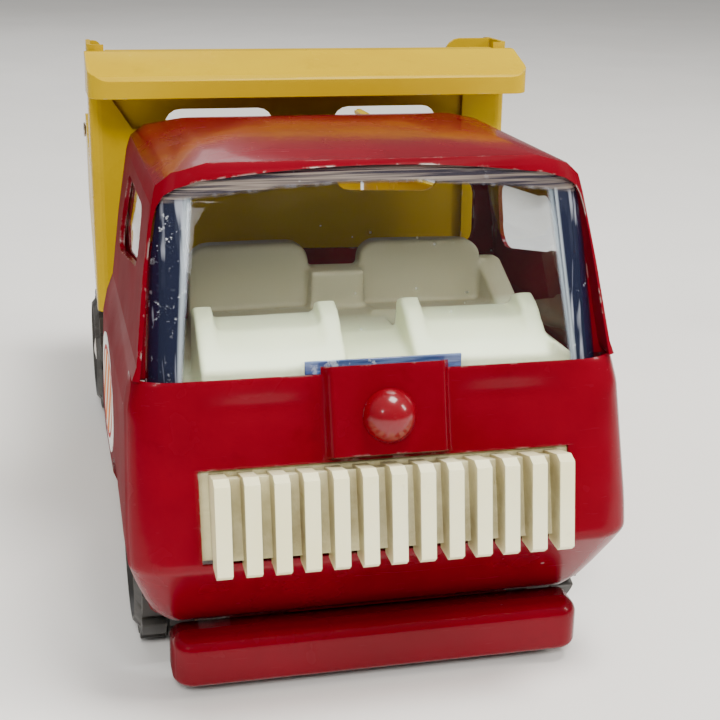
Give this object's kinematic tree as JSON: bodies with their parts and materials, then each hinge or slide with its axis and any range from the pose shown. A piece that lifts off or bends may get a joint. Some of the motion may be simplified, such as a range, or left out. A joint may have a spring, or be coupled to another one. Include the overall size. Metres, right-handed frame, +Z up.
{
  "type": "push along truck",
  "caption": "Toy dump truck in pressed steel with a cab-over nose, a canopied bed that tips about a rear pin, a drop tailgate and free rolling wheels.",
  "frame": {"origin": "on the ground, under the middle of the overall length and width", "axes": "-Y towards the nose, +Y towards the tailgate, +X to the right as seen from in front, +Z up"},
  "size_m": [0.0688, 0.1618, 0.0806],
  "materials": {
    "red_paint": "gloss enamel on pressed steel",
    "rivet_paint": "gloss enamel",
    "yellow_paint": "gloss enamel on pressed steel",
    "chassis_paint": "semi-gloss enamel on pressed steel",
    "clear_plastic": "clear moulded plastic, scratched",
    "interior_plastic": "satin moulded plastic",
    "grille_plastic": "satin moulded plastic",
    "decal_film": "printed film",
    "bright_steel": "drawn wire and rivets",
    "wheel_plastic": "moulded black plastic"
  },
  "bodies": {
    "truck": {"chassis": "chassis_paint", "bumper": "red_paint", "bumper_rivets": "bright_steel", "cab_shell": "red_paint", "front_panel": "red_paint", "front_rivet": "rivet_paint", "window_insert": "clear_plastic", "interior_moulding": "interior_plastic", "grille_insert": "grille_plastic", "door_decal_left": "decal_film", "door_decal_right": "decal_film", "bed_hinge_pin": "bright_steel"},
    "front_wheels": {"front_axle": "bright_steel", "front_axle_caps": "bright_steel", "front_wheel_left": "wheel_plastic", "front_wheel_right": "wheel_plastic"},
    "rear_wheels": {"rear_axle": "bright_steel", "rear_axle_caps": "bright_steel", "rear_wheel_left": "wheel_plastic", "rear_wheel_right": "wheel_plastic"},
    "bed": {"bed_tub": "yellow_paint", "bed_headboard": "yellow_paint", "bed_hinge_bracket": "yellow_paint", "tailgate_rod": "bright_steel"},
    "tailgate": {"tailgate": "yellow_paint"}
  },
  "joints": [
    {"name": "front_wheel_spin", "type": "hinge", "parent": "truck", "child": "front_wheels", "pos_m": [0, -0.05116, 0.0125], "axis": [1, 0, 0], "continuous": true},
    {"name": "rear_wheel_spin", "type": "hinge", "parent": "truck", "child": "rear_wheels", "pos_m": [0, 0.04734, 0.0125], "axis": [1, 0, 0], "continuous": true},
    {"name": "bed_tip", "type": "hinge", "parent": "truck", "child": "bed", "pos_m": [0, 0.07334, 0.0345], "axis": [-1, 0, 0], "range_deg": [0, 48]},
    {"name": "tailgate_swing", "type": "hinge", "parent": "bed", "child": "tailgate", "pos_m": [0, 0.07854, 0.0535], "axis": [1, 0, 0], "range_deg": [0, 80]}
  ]
}
